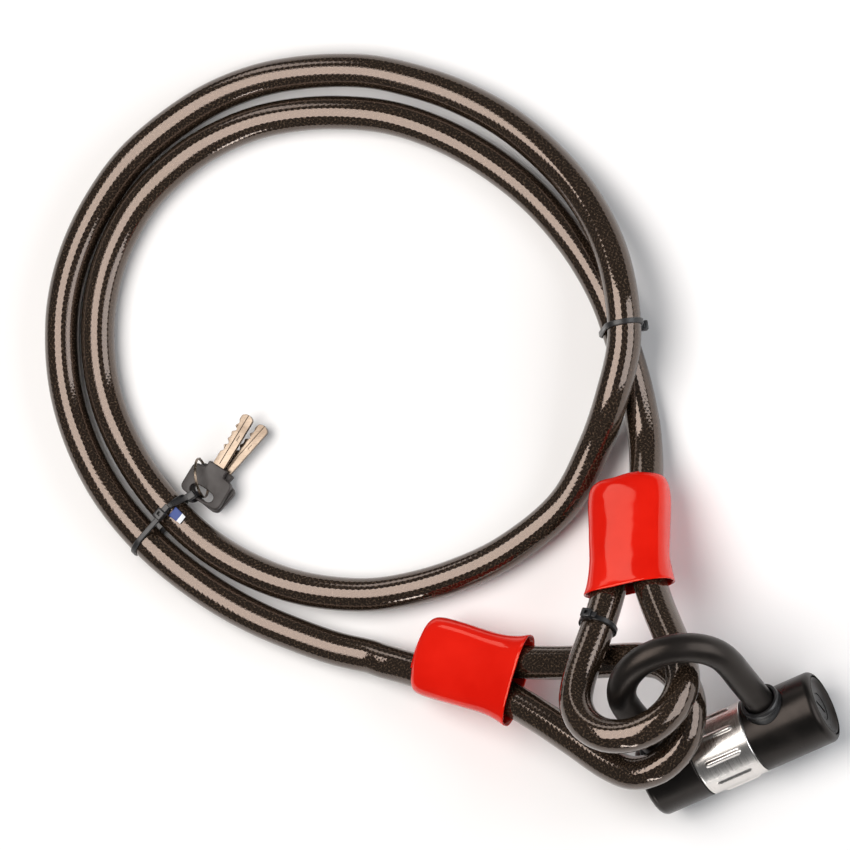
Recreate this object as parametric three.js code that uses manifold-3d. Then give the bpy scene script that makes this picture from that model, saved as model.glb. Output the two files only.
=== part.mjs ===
// Loop cable with two eyes and a barrel padlock, lying coiled on a flat surface.
// Millimetres, +Z up. X runs right and Y away from the front as the coil lies.
import * as THREE from 'three';
import { mergeVertices } from 'three/addons/utils/BufferGeometryUtils.js';
import Module from 'manifold-3d';

const wasm = await Module();
wasm.setup();

// ---- Driving dimensions -------------------------------------------------
const GAP = 0.3;                 // clearance between touching pieces
const ORIGIN = { x: 8.4, y: -5.8 }; // middle of the object on the floor, in coil coordinates

const CABLE = { radius: 7.5, bore: 6.1, core: 5.1, sides: 10, boreSides: 8 };
const CORE_SIDES = 7;            // facets round the wire rope
const LANE = 7.9;                // half distance between the two cables inside a boot

const BOOT = { length: 52, halfWidth: 18.2, halfHeight: 10.3, wall: 2.3, endWall: 4 };
const FERRULE = { length: 33, rear: -43.8, halfWidth: 14.9, halfHeight: 7.2, bore: 5.5 };
const EYE = { radius: 25, coreEnd: -44, sleeveEnd: -9 };

// Mouth of each boot: where it is, where it points, how far the eye reaches, which lane the long
// cable takes, and how far the mouth's lower and upper lips stand forward.
const TERMINALS = [
  {
    name: '1', mouth: [105, -76.2, 38.8], azimuth: -81, pitch: 26,
    reach: 80, cableSide: 1, slant: [0, 7.5],
  },
  {
    name: '2', mouth: [50, -117.2, 26.3], azimuth: -17, pitch: 14,
    reach: 91, cableSide: -1, slant: [-2.7, 2.7],
  },
];

// Padlock: barrel along its own x, shackle legs along its own y.
const LOCK = { place: [147.5, -146.5, 17], azimuth: 21.3, raise: 60 };
const BARREL = { radius: 16.5, half: 43, skin: 1.6, edge: 2.6, dishRadius: 12.4, dishDepth: 1.8 };
const BAND = { from: -18, to: 9, ribs: 9, ribLength: 17, ribWidth: 2.2, ribHeight: 0.75 };
const LEGS = { right: 20.5, left: -29.5 };
const SHACKLE = { core: 5.1, coat: 6.5, straight: 50, depth: -9, coatFrom: 14.9 };
const COLLAR = { outer: 9, inner: 6.9, top: 20.3 };
const NOTCH = { depth: 2.6, half: 3.2 };
// The locking slide is drawn back here; it moves 2.4 mm to the left into both notches.
const BOLT = { radius: 2.7, rest: 0.35, leftBack: -16, rightBack: 29, play: 0.4 };
const BAR = { radius: 2, drop: -8.6, webHalf: 1.4 };
const PLUG = { radius: 6.2, from: 32.3, to: 41, key: [1.4, 8.6] };
const HOUSING = { radius: 8.6, from: 31.4 };
const CAM = { radius: 8.2, from: 29.6 };

const TIE = { width: 2.6, thick: 1.1, clear: 0.5, head: [4.6, 4.2, 3.4] };
const KEY = { bow: [18.5, 20.8, 3.1], blade: [34.5, 5.8, 1.9], slot: [6, 2.5], slotAt: -4.9, lift: 5.2 };
const KEY_NECK = { half: 4.7, shoulder: 5.2, bulge: 1.4 };
const KEY_RING = { radius: 8.6, wire: 0.6, azimuth: 97, back: 1.6 };
const KEY_STRAP = { radius: 2.2, spread: 2, thick: 0.8, width: 2, azimuth: 210, aside: -0.9, reach: 4.2 };
const STRAP_TAIL = { length: 7.8, slope: 26 };
const TAG = { size: [6.5, 5, 0.35], place: [-111.2, -38.3, 17.1], azimuth: -40 };
const KEYS = [
  { name: '1', place: [-99.3, -23.8], azimuth: 57, level: 1 },
  { name: '2', place: [-98.4, -24.4], azimuth: 46, level: 0 },
];

// Cable route from boot 2 round the coil to boot 1, past each boot's straight lead-in.
const ROUTE = [
  [-24, -102.5, 8.2], [-40, -98.5, 7.7], [-57, -92.5, 7.7], [-79, -83, 7.7], [-102, -69.5, 7.7],
  [-125, -51, 9.2], [-144.5, -29, 9.0], [-157.5, -7, 7.7], [-165.5, 16, 7.7], [-168.5, 38, 7.7],
  [-167.5, 60, 7.7], [-161.5, 82, 7.7], [-150, 104, 7.7], [-134, 123.5, 7.7], [-104, 144.5, 7.7],
  [-79, 154, 7.7], [-55, 157.5, 7.7], [-28, 157, 7.7], [-9, 153, 7.7], [14, 145, 7.7],
  [38, 132, 8.2], [60, 114, 10.2], [77, 95, 14.5], [90, 73, 20.2], [97, 50, 24.6],
  [98, 30, 24.9], [92, 8, 22.6], [81, -14, 14.4], [65, -38, 8.8], [38, -58, 7.7],
  [14, -68, 7.7], [-9, -73.5, 7.7], [-28, -75, 7.7], [-55, -71.5, 7.7], [-79, -63, 7.7],
  [-102, -49, 8.8], [-122.5, -29, 9.2], [-138, -7, 7.7], [-147.5, 15, 7.7], [-151.5, 37, 7.7],
  [-150.5, 60, 7.7], [-144.5, 81, 7.7], [-133, 101, 7.7], [-119, 115, 7.7], [-102, 126.5, 7.7],
  [-79, 135.5, 7.7], [-55, 139, 7.7], [-28, 138, 7.7], [-9, 134, 7.7], [14, 124.5, 7.7],
  [37, 110, 7.7], [55, 94.5, 7.7], [72, 74, 7.7], [85, 52, 8.8], [93, 30, 9.2],
  [98, 12, 7.7],
];
const LEAD_DROPS = {
  1: [[57, 13.8], [64, 11.2], [71, 9.4], [79, 8.3]],
  2: [[57, 12.2], [64, 10.5], [72, 9.2]],
};

// ---- Materials ----------------------------------------------------------
const paint = (color, roughness, metalness = 0) =>
  new THREE.MeshStandardMaterial({ color, roughness, metalness });
const MATERIAL = {
  sleeve: paint(0x2b211b, 0.12),
  rope: paint(0x8a8378, 0.4, 0.9),
  boot: paint(0xe3120b, 0.22),
  ferrule: paint(0xb9bcc0, 0.4, 0.9),
  blackCase: paint(0x111112, 0.42),
  band: paint(0xc9c4bd, 0.28, 1),
  coat: paint(0x141414, 0.5),
  steel: paint(0x9a9ca0, 0.3, 1),
  brass: paint(0xb08d57, 0.35, 1),
  zinc: paint(0x8b8d90, 0.45, 0.9),
  nylon: paint(0x0c0c0d, 0.4),
  nickel: paint(0xc8bfae, 0.25, 1),
  paper: paint(0xdfe8f4, 0.7),
};

// ---- Shape helpers ------------------------------------------------------
const RADIANS = Math.PI / 180;

function weld(geometry) {
  const bare = geometry.clone();
  bare.deleteAttribute('normal');
  bare.deleteAttribute('uv');
  const merged = mergeVertices(bare, 1e-4);
  const index = merged.index.array;
  const kept = [];
  for (let i = 0; i < index.length; i += 3) {
    const [a, b, c] = [index[i], index[i + 1], index[i + 2]];
    if (a !== b && b !== c && c !== a) kept.push(a, b, c);
  }
  merged.setIndex(kept);
  return merged;
}

function toSolid(geometry) {
  const welded = weld(geometry);
  const vertProperties = new Float32Array(welded.attributes.position.array);
  const triVerts = new Uint32Array(welded.index.array);
  return new wasm.Manifold(new wasm.Mesh({ numProp: 3, vertProperties, triVerts }));
}

function toGeometry(solid) {
  const mesh = solid.getMesh();
  const geometry = new THREE.BufferGeometry();
  geometry.setAttribute('position', new THREE.BufferAttribute(mesh.vertProperties, 3));
  geometry.setIndex(new THREE.BufferAttribute(mesh.triVerts, 1));
  return geometry;
}

function circle(radius, sides) {
  const turn = (2 * Math.PI) / sides;
  return Array.from({ length: sides }, (_, i) =>
    new THREE.Vector2(radius * Math.cos(i * turn), radius * Math.sin(i * turn)));
}

// A tube or, with a bore, a hollow sleeve along a curve.
function tube(curve, radius, sides, steps, bore = 0, boreSides = 10) {
  const section = new THREE.Shape(circle(radius, sides));
  if (bore) section.holes.push(new THREE.Path(circle(bore, boreSides).reverse()));
  return new THREE.ExtrudeGeometry(section, { steps, extrudePath: curve, bevelEnabled: false });
}

const sleeveTube = (curve, steps) =>
  tube(curve, CABLE.radius, CABLE.sides, steps, CABLE.bore, CABLE.boreSides);

const smooth = (points) =>
  new THREE.CatmullRomCurve3(points.map((p) => new THREE.Vector3(...p)), false, 'centripetal');

// Solid of revolution about the barrel's x axis: profile points are [x, radius].
function turned(profile, sides) {
  const points = profile.map(([x, r]) => new THREE.Vector2(r, x));
  return new THREE.LatheGeometry(points, sides).rotateZ(-Math.PI / 2);
}

// Cylinder along x between two places.
function rodX(from, to, radius, sides, y = 0) {
  const rod = new THREE.CylinderGeometry(radius, radius, to - from, sides);
  return rod.rotateZ(-Math.PI / 2).translate((from + to) / 2, y, 0);
}

// Cylinder along y between two heights.
function rodY(from, to, radius, sides, x) {
  return new THREE.CylinderGeometry(radius, radius, to - from, sides).translate(x, (from + to) / 2, 0);
}

function box(x0, x1, y0, y1, z0, z1) {
  const shape = new THREE.BoxGeometry(x1 - x0, y1 - y0, z1 - z0);
  return shape.translate((x0 + x1) / 2, (y0 + y1) / 2, (z0 + z1) / 2);
}

// Stadium section in the y-z plane at a given x; slant moves its lower and upper edges along x.
function stadium(x, halfWidth, halfHeight, slant = [0, 0]) {
  const cornerSteps = 6;
  const ring = [];
  const flat = halfWidth - halfHeight;
  for (const side of [1, -1]) {
    for (let i = 0; i <= cornerSteps; i += 1) {
      const angle = -Math.PI / 2 + (Math.PI * i) / cornerSteps;
      const rise = side * Math.sin(angle);
      const forward = (slant[0] * (1 - rise) + slant[1] * (1 + rise)) / 2;
      ring.push([x + forward, side * (flat + halfHeight * Math.cos(angle)), halfHeight * rise]);
    }
  }
  return ring;
}

// Solid through a row of equal-count sections, closed by a fan at each end.
function loft(sections) {
  const count = sections[0].length;
  const positions = sections.flat(2);
  const index = [];
  for (let s = 0; s + 1 < sections.length; s += 1) {
    for (let i = 0; i < count; i += 1) {
      const a = s * count + i;
      const b = s * count + ((i + 1) % count);
      index.push(a, b, b + count, a, b + count, a + count);
    }
  }
  for (const [row, flip] of [[0, true], [sections.length - 1, false]]) {
    const middle = positions.length / 3;
    const ring = sections[row];
    const mean = [0, 1, 2].map((k) => ring.reduce((sum, p) => sum + p[k], 0) / count);
    positions.push(...mean);
    for (let i = 0; i < count; i += 1) {
      const a = row * count + i;
      const b = row * count + ((i + 1) % count);
      index.push(...(flip ? [middle, b, a] : [middle, a, b]));
    }
  }
  const geometry = new THREE.BufferGeometry();
  geometry.setAttribute('position', new THREE.Float32BufferAttribute(positions, 3));
  geometry.setIndex(index);
  return geometry;
}

function piece(name, geometry, material) {
  const mesh = new THREE.Mesh(geometry, material);
  mesh.name = name;
  return mesh;
}

const carved = (name, solid, material) => piece(name, toGeometry(solid), material);

// ---- Boots, ferrules and eyes ------------------------------------------
// Each terminal's frame has x out of the boot's mouth, y across it and z up from its flat side.
function terminalFrame({ mouth, azimuth, pitch }) {
  const [a, p] = [azimuth * RADIANS, pitch * RADIANS];
  const along = new THREE.Vector3(Math.cos(p) * Math.cos(a), Math.cos(p) * Math.sin(a), Math.sin(p));
  const across = new THREE.Vector3(-Math.sin(a), Math.cos(a), 0);
  const up = new THREE.Vector3().crossVectors(along, across);
  return new THREE.Matrix4().makeBasis(along, across, up).setPosition(...mouth);
}

// Teardrop centre line: along one lane, round the eye and back along the other.
function eyePath(end, reach) {
  const centre = reach - EYE.radius;
  const span = Math.hypot(centre, LANE);
  const touch = Math.atan2(LANE, -centre) - Math.acos(EYE.radius / span);
  const around = (angle) =>
    [centre + EYE.radius * Math.cos(angle), EYE.radius * Math.sin(angle), 0];
  const upper = [[end, LANE, 0]];
  if (end < -20) upper.push([(end - 12) / 2, LANE, 0]);
  upper.push([-5, LANE, 0]);
  const start = around(touch);
  for (const part of [0.3, 0.6]) {
    upper.push([start[0] * part, LANE + (start[1] - LANE) * part, 0]);
  }
  const arcSteps = 8;
  const arc = [];
  for (let i = 0; i <= arcSteps; i += 1) arc.push(around(touch * (1 - (2 * i) / arcSteps)));
  const lower = upper.map(([x, y, z]) => [x, -y, z]).reverse();
  return smooth([...upper, ...arc, ...lower]);
}

function boot({ cableSide, slant }) {
  const { length, halfWidth: w, halfHeight: h, wall, endWall } = BOOT;
  const lean = (share) => slant.map((forward) => forward * share);
  const outer = loft([
    stadium(-length, w - 3.4, h - 3.2),
    stadium(-length + 1.2, w - 1.6, h - 1.5),
    stadium(-length + 3.6, w - 0.3, h - 0.3),
    stadium(-length + 8, w, h),
    stadium(-15, w, h),
    stadium(-9, w + 0.8, h + 0.1, lean(0.35)),
    stadium(-4, w + 2.1, h + 0.3, lean(0.7)),
    stadium(0, w + 3.4, h + 0.6, lean(1)),
  ]);
  const inner = loft([
    stadium(-length + endWall, w - wall, h - wall),
    stadium(-15, w - wall, h - wall),
    stadium(-9, w - wall + 0.8, h - wall + 0.1, lean(0.35)),
    stadium(-4, w - wall + 2.1, h - wall + 0.3, lean(0.7)),
    stadium(1, w - wall + 3.8, h - wall + 0.7, lean(1)),
  ]);
  const cableHole =
    rodX(-length - 2, -length + endWall + 2, CABLE.radius + 2 * GAP, 28, cableSide * LANE);
  return toSolid(outer).subtract(toSolid(inner)).subtract(toSolid(cableHole));
}

function ferrule() {
  const { rear, length, halfWidth, halfHeight, bore } = FERRULE;
  const front = rear + length;
  let body = toSolid(loft([
    stadium(rear, halfWidth - 0.8, halfHeight - 0.8),
    stadium(rear + 0.8, halfWidth, halfHeight),
    stadium(front - 0.8, halfWidth, halfHeight),
    stadium(front, halfWidth - 0.8, halfHeight - 0.8),
  ]));
  for (const side of [1, -1]) {
    body = body.subtract(toSolid(rodX(rear - 1, front + 1, bore, 16, side * LANE)));
  }
  return body;
}

function terminal(spec) {
  const group = new THREE.Group();
  group.applyMatrix4(terminalFrame(spec));
  const sleeve = sleeveTube(eyePath(EYE.sleeveEnd, spec.reach), 26);
  const core = tube(eyePath(EYE.coreEnd, spec.reach), CABLE.core - 0.15, CORE_SIDES, 34);
  group.add(piece(`eye_${spec.name}_sleeve`, sleeve, MATERIAL.sleeve));
  group.add(piece(`eye_${spec.name}_wire_rope`, core, MATERIAL.rope));
  group.add(carved(`ferrule_${spec.name}`, ferrule(), MATERIAL.ferrule));
  group.add(carved(`boot_${spec.name}`, boot(spec), MATERIAL.boot));
  return group;
}

// ---- Long cable ---------------------------------------------------------
// The cable leaves each boot straight along its lane, then bends down onto the floor.
function leadIn(spec) {
  const frame = terminalFrame(spec);
  const at = (x) => new THREE.Vector3(x, spec.cableSide * LANE, 0).applyMatrix4(frame);
  const points = [EYE.coreEnd - GAP, -50].map((x) => at(x).toArray());
  for (const [distance, height] of LEAD_DROPS[spec.name]) {
    const place = at(-distance);
    points.push([place.x, place.y, height]);
  }
  return points;
}

function longCable() {
  const path = smooth([...leadIn(TERMINALS[1]), ...ROUTE, ...leadIn(TERMINALS[0]).reverse()]);
  const steps = 74;
  return [
    piece('cable_sleeve', sleeveTube(path, steps), MATERIAL.sleeve),
    piece('cable_wire_rope', tube(path, CABLE.core, CORE_SIDES, steps), MATERIAL.rope),
  ];
}

// ---- Padlock ------------------------------------------------------------
function lockFrame() {
  const [a, r] = [LOCK.azimuth * RADIANS, LOCK.raise * RADIANS];
  const along = new THREE.Vector3(Math.cos(a), Math.sin(a), 0);
  const level = new THREE.Vector3(-Math.sin(a), Math.cos(a), 0);
  const legs = level.multiplyScalar(Math.cos(r)).add(new THREE.Vector3(0, 0, Math.sin(r)));
  const side = new THREE.Vector3().crossVectors(along, legs);
  return new THREE.Matrix4().makeBasis(along, legs, side).setPosition(...LOCK.place);
}

// Zinc body: bored for the two legs, the cylinder and the locking slide.
function lockBody() {
  const radius = BARREL.radius - BARREL.skin - GAP;
  const half = BARREL.half - BARREL.skin - 2.4;
  const room = BOLT.radius + BOLT.play;
  const webRoom = BAR.webHalf + BOLT.play;
  let body = toSolid(rodX(-half, half - 1, radius, 40));
  const cuts = [
    rodY(SHACKLE.depth - 1, radius + 5, SHACKLE.core + 0.5, 20, LEGS.right),
    rodY(SHACKLE.depth - 1, radius + 5, SHACKLE.core + 0.5, 20, LEGS.left),
    rodX(LEGS.left + 3, BOLT.leftBack + 8, room, 16),
    rodX(LEGS.right + 3, CAM.from, room, 16),
    rodX(BOLT.leftBack - 6, CAM.from, BAR.radius + BOLT.play, 12).translate(0, 0, BAR.drop),
    box(BOLT.leftBack - 6, BOLT.leftBack + 1, -webRoom, webRoom, BAR.drop, 0),
    box(LEGS.right + 3, CAM.from, -webRoom, webRoom, BAR.drop, 0),
    rodX(CAM.from - 0.4, half + 1, HOUSING.radius + GAP, 28),
  ];
  for (const cut of cuts) body = body.subtract(toSolid(cut));
  return body;
}

// Black end cover: a cup over one end of the body, dished on its face.
function endCover(inner, outer, leg, keyed) {
  const { radius, skin, edge, dishRadius, dishDepth } = BARREL;
  const s = Math.sign(outer);
  const round = [];
  for (let i = 0; i <= 3; i += 1) {
    const angle = (Math.PI / 2) * (i / 3);
    round.push([outer - s * edge * (1 - Math.sin(angle)), radius - edge * (1 - Math.cos(angle))]);
  }
  const floor = outer - s * (skin + dishDepth);
  const profile = [
    [inner, radius - skin], [inner, radius], ...round,
    [outer, dishRadius], [outer - s * dishDepth, dishRadius - 1.2],
    [outer - s * dishDepth, 0], [floor, 0], [floor, radius - skin],
  ];
  const path = [...profile, profile[0]];
  let cup = toSolid(turned(s > 0 ? path : path.reverse(), 36));
  cup = cup.subtract(toSolid(rodY(0, radius + 2, COLLAR.outer + GAP, 24, leg)));
  if (keyed) cup = cup.subtract(toSolid(rodX(floor - 2, outer + 1, PLUG.radius + GAP, 28)));
  return cup;
}

function steelBand() {
  const { from, to, ribs, ribLength, ribWidth, ribHeight } = BAND;
  const { radius, skin } = BARREL;
  const inner = radius - skin;
  const outer = radius + 0.12;
  const ends = [from + GAP, to - GAP];
  const profile = [[ends[0], inner], [ends[0], outer], [ends[1], outer], [ends[1], inner]];
  let band = toSolid(turned([...profile, profile[0]], 48));
  const middle = (from + to) / 2;
  for (let i = 0; i < ribs; i += 1) {
    const rib = new THREE.CapsuleGeometry(ribWidth / 2, ribLength - ribWidth, 2, 6);
    rib.rotateZ(Math.PI / 2).translate(middle, 0, outer + ribHeight - ribWidth / 2);
    rib.rotateX((2 * Math.PI * (i + 0.35)) / ribs);
    band = band.add(toSolid(rib));
  }
  return band.subtract(toSolid(rodX(from - 1, to + 1, inner, 48)));
}

function collar(x) {
  const body = toSolid(rodY(10, COLLAR.top, COLLAR.outer, 24, x));
  const hole = toSolid(rodY(9, COLLAR.top + 1, COLLAR.inner, 24, x));
  const seat = toSolid(rodX(x - 12, x + 12, BARREL.radius - BARREL.skin, 40));
  return body.subtract(hole).subtract(seat);
}

function shacklePath(bottom) {
  const middle = (LEGS.right + LEGS.left) / 2;
  const half = (LEGS.right - LEGS.left) / 2;
  const points = [];
  for (const part of [0, 0.35, 0.7]) {
    points.push([LEGS.right, bottom + (SHACKLE.straight - bottom) * part, 0]);
  }
  const arcSteps = 10;
  for (let i = 0; i <= arcSteps; i += 1) {
    const angle = (Math.PI * i) / arcSteps;
    points.push([middle + half * Math.cos(angle), SHACKLE.straight + half * Math.sin(angle), 0]);
  }
  for (const part of [0.7, 0.35, 0]) {
    points.push([LEGS.left, bottom + (SHACKLE.straight - bottom) * part, 0]);
  }
  return smooth(points);
}

// Steel shackle with a notch on the right side of each leg.
function shackleCore() {
  let bar = toSolid(tube(shacklePath(SHACKLE.depth), SHACKLE.core, 12, 32));
  for (const x of [LEGS.right, LEGS.left]) {
    const face = x + SHACKLE.core - NOTCH.depth;
    bar = bar.subtract(toSolid(box(face, face + 4, -NOTCH.half, NOTCH.half, -8, 8)));
  }
  return bar;
}

function shackleCoat() {
  return tube(shacklePath(SHACKLE.coatFrom), SHACKLE.coat, 12, 30, SHACKLE.core + 0.75, 9);
}

// One slide carries a bolt for each leg, joined by a bar that passes beside the right leg.
function lockingSlide() {
  const reach = SHACKLE.core + BOLT.rest;
  const { leftBack, rightBack } = BOLT;
  const web = (x0, x1) => box(x0, x1, -BAR.webHalf, BAR.webHalf, BAR.drop, 0);
  const parts = [
    rodX(LEGS.right + reach, rightBack, BOLT.radius, 16),
    rodX(leftBack - 3, rightBack, BAR.radius, 10).translate(0, 0, BAR.drop),
    web(leftBack - 3, leftBack),
    web(rightBack - 2.4, rightBack),
  ];
  let slide = toSolid(rodX(LEGS.left + reach, leftBack, BOLT.radius, 16));
  for (const part of parts) slide = slide.add(toSolid(part));
  return slide;
}

function cylinderHousing() {
  const end = BARREL.half - BARREL.skin - BARREL.dishDepth - GAP;
  const body = toSolid(rodX(HOUSING.from, end, HOUSING.radius, 28));
  return body.subtract(toSolid(rodX(HOUSING.from - 1, end + 1, PLUG.radius + GAP, 28)));
}

function lockPlug() {
  const { radius, from, to, key } = PLUG;
  const body = toSolid(rodX(from, to, radius, 28));
  return body.subtract(toSolid(box(from + 2, to + 1, -key[1] / 2, key[1] / 2, -key[0] / 2, key[0] / 2)));
}

function lockCam() {
  const disc = toSolid(rodX(CAM.from, HOUSING.from - GAP, CAM.radius, 24));
  const hub = toSolid(rodX(CAM.from + 0.5, PLUG.from - GAP, PLUG.radius - 1, 20));
  return disc.add(hub).subtract(toSolid(box(CAM.from - 1, CAM.from + 0.8, -1, 1, -6, 6)));
}

function springCoil(from, to) {
  const turns = 4;
  const points = [];
  for (let i = 0; i <= turns * 8; i += 1) {
    const angle = (2 * Math.PI * i) / 8;
    const x = from + ((to - from) * i) / (turns * 8);
    points.push([x, 2.0 * Math.cos(angle), 2.0 * Math.sin(angle)]);
  }
  return tube(smooth(points), 0.35, 5, turns * 8);
}

function padlock() {
  const group = new THREE.Group();
  group.applyMatrix4(lockFrame());
  const inside = BAND.to + GAP;
  group.add(carved('lock_body', lockBody(), MATERIAL.zinc));
  const rightCover = endCover(inside, BARREL.half, LEGS.right, true);
  const leftCover = endCover(BAND.from - GAP, -BARREL.half, LEGS.left, false);
  group.add(carved('right_end_cover', rightCover, MATERIAL.blackCase));
  group.add(carved('left_end_cover', leftCover, MATERIAL.blackCase));
  group.add(carved('steel_band', steelBand(), MATERIAL.band));
  group.add(carved('right_collar', collar(LEGS.right), MATERIAL.nylon));
  group.add(carved('left_collar', collar(LEGS.left), MATERIAL.nylon));
  group.add(carved('shackle_bar', shackleCore(), MATERIAL.steel));
  group.add(piece('shackle_coating', shackleCoat(), MATERIAL.coat));
  group.add(carved('locking_slide', lockingSlide(), MATERIAL.steel));
  group.add(piece('slide_spring', springCoil(BOLT.leftBack + 0.8, BOLT.leftBack + 7.2), MATERIAL.steel));
  group.add(carved('cylinder_housing', cylinderHousing(), MATERIAL.brass));
  group.add(carved('lock_plug', lockPlug(), MATERIAL.brass));
  group.add(carved('plug_cam', lockCam(), MATERIAL.zinc));
  return group;
}

// ---- Cable ties ---------------------------------------------------------
// Band round two cables a given distance apart; its own x runs from one cable to the other.
function tieBand(spread, radius) {
  const ring = (r) => {
    const points = [];
    const steps = 10;
    for (const side of [1, -1]) {
      for (let i = 0; i <= steps; i += 1) {
        const angle = -Math.PI / 2 + (Math.PI * i) / steps;
        points.push(new THREE.Vector2(side * (spread + r * Math.cos(angle)), side * r * Math.sin(angle)));
      }
    }
    return points;
  };
  const section = new THREE.Shape(ring(radius + TIE.thick));
  section.holes.push(new THREE.Path(ring(radius).reverse()));
  const band = new THREE.ExtrudeGeometry(section, { depth: TIE.width, bevelEnabled: false });
  return band.translate(0, 0, -TIE.width / 2);
}

// Whole tie: band, square head and cut tail, joined into one moulding.
function cableTie(spread, radius, headAt, tail) {
  const [length, height, width] = TIE.head;
  const top = radius + TIE.thick / 2;
  const head = box(headAt - length / 2, headAt + length / 2, top, top + height, -width / 2, width / 2);
  const end = box(headAt + length / 2 - 1, headAt + length / 2 + tail, top + 1.4, top + 2.5, -1.2, 1.2);
  return toSolid(tieBand(spread, radius)).add(toSolid(head)).add(toSolid(end));
}

// Frame whose x runs from one cable to the other and whose z runs along them.
function tieFrame(place, across, along) {
  const z = new THREE.Vector3(...along).normalize();
  const x = new THREE.Vector3(...across).projectOnPlane(z).normalize();
  const y = new THREE.Vector3().crossVectors(z, x);
  return new THREE.Matrix4().makeBasis(x, y, z).setPosition(...place);
}

function tie(name, frame, spread, headAt, tail) {
  const radius = CABLE.radius + TIE.clear;
  const mesh = carved(name, cableTie(spread, radius, headAt, tail), MATERIAL.nylon);
  mesh.applyMatrix4(frame);
  return mesh;
}

function ties() {
  const group = new THREE.Group();
  const crossing = tieFrame([94.3, 38, 17.1], [-7.8, 0, -15.9], [0.17, -1, 0]);
  group.add(tie('crossing_tie', crossing, 9.0, 3, 2.5));
  const coil = tieFrame([-122.8, -42, 9.2], [12.5, 13.7, 0], [0.72, -0.69, 0]);
  group.add(tie('coil_tie', coil, 9.9, 6, 3));
  const holder = new THREE.Group();
  holder.applyMatrix4(terminalFrame(TERMINALS[0]));
  const eyeLeg = tieFrame([20, -14.6, 0], [0, 1, 0], [1, -0.336, 0]);
  holder.add(tie('eye_tie', eyeLeg, 0.05, -1.5, 2));
  group.add(holder);
  return group;
}

// ---- Keys ---------------------------------------------------------------
// Moulded head: straight sides, a neck for the blade and a long slot near its rounded foot.
function keyBow() {
  const [length, width, thick] = KEY.bow;
  const { half: neck, shoulder, bulge } = KEY_NECK;
  const [l, w, r] = [length / 2, width / 2, 2.4];
  const foot = -l + bulge;
  const shape = new THREE.Shape();
  shape.moveTo(foot + r, -w).lineTo(shoulder - r, -w).quadraticCurveTo(shoulder, -w, shoulder, -w + r);
  shape.lineTo(shoulder + 1, -neck).lineTo(l, -neck).lineTo(l, neck).lineTo(shoulder + 1, neck);
  shape.lineTo(shoulder, w - r).quadraticCurveTo(shoulder, w, shoulder - r, w).lineTo(foot + r, w);
  shape.quadraticCurveTo(foot, w, foot - 0.3, w - r).quadraticCurveTo(-l - bulge / 2, 0, foot - 0.3, -w + r);
  shape.quadraticCurveTo(foot, -w, foot + r, -w);
  const slot = new THREE.Path();
  slot.absellipse(KEY.slotAt, 0, KEY.slot[1], KEY.slot[0], 0, 2 * Math.PI, true);
  shape.holes.push(slot);
  const blank = new THREE.ExtrudeGeometry(shape, {
    depth: thick - 1, bevelEnabled: true, bevelSize: 0.5, bevelThickness: 0.5, bevelSegments: 1,
    bevelOffset: -0.5, curveSegments: 5,
  });
  const half = KEY.blade[2] / 2 + GAP;
  const pocketHalf = KEY.blade[1] / 2 + GAP;
  const pocket = box(0.5, l + 1, -pocketHalf, pocketHalf, thick / 2 - half, thick / 2 + half);
  return toSolid(blank.translate(0, 0, 0.5)).subtract(toSolid(pocket));
}

// Blade with a rounded tip, cuts along one edge and a groove down its face.
function keyBlade() {
  const [length, width, thick] = KEY.blade;
  const [start, half, tip] = [0.8, width / 2, 2];
  const end = start + length;
  const shape = new THREE.Shape();
  shape.moveTo(start, -half).lineTo(end - tip, -half).quadraticCurveTo(end, -half, end, 0);
  shape.quadraticCurveTo(end, half, end - tip, half);
  const cuts = [0.9, 1.4, 0.7, 1.5, 1.1];
  const pitch = 3.4;
  cuts.forEach((depth, i) => {
    const x = end - 5 - i * pitch;
    shape.lineTo(x + 1.1, half).lineTo(x, half - depth).lineTo(x - 1.1, half);
  });
  shape.lineTo(start, half);
  const blade = new THREE.ExtrudeGeometry(shape, { depth: thick, bevelEnabled: false, curveSegments: 5 });
  const groove = box(KEY.bow[0] / 2 + 2, end + 1, -0.6, 0.5, thick - 0.5, thick + 1);
  return toSolid(blade).subtract(toSolid(groove));
}

function keys() {
  const group = new THREE.Group();
  for (const { name, place, azimuth, level } of KEYS) {
    const key = new THREE.Group();
    const base = KEY.lift + level * (KEY.bow[2] + GAP);
    key.position.set(place[0], place[1], base);
    key.rotation.z = azimuth * RADIANS;
    const blade = carved(`key_${name}_blade`, keyBlade(), MATERIAL.nickel);
    blade.position.z = (KEY.bow[2] - KEY.blade[2]) / 2;
    key.add(carved(`key_${name}_bow`, keyBow(), MATERIAL.nylon), blade);
    group.add(key);
  }
  return group;
}

// Frame at the middle of the two bow holes, with x pointing a given way over the floor.
function holeFrame(azimuth) {
  const mean = (values) => values.reduce((sum, v) => sum + v, 0) / values.length;
  const hole = (key, axis, turn) => key.place[axis] + KEY.slotAt * turn(key.azimuth * RADIANS);
  const x = mean(KEYS.map((key) => hole(key, 0, Math.cos)));
  const y = mean(KEYS.map((key) => hole(key, 1, Math.sin)));
  return new THREE.Matrix4().makeRotationZ(azimuth * RADIANS).setPosition(x, y, 0);
}

// Upright wire ring through both holes and over the edge of the bows.
function keyRing() {
  const { radius, wire, azimuth, back } = KEY_RING;
  const torus = new THREE.TorusGeometry(radius, wire, 8, 28).rotateX(Math.PI / 2);
  torus.translate(radius - back, 0, radius + wire + 0.2);
  return piece('key_ring', torus.applyMatrix4(holeFrame(azimuth)), MATERIAL.nickel);
}

function paperTag() {
  const tag = piece('paper_tag', new THREE.BoxGeometry(...TAG.size), MATERIAL.paper);
  tag.position.set(...TAG.place);
  tag.rotation.z = TAG.azimuth * RADIANS;
  return tag;
}

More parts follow.
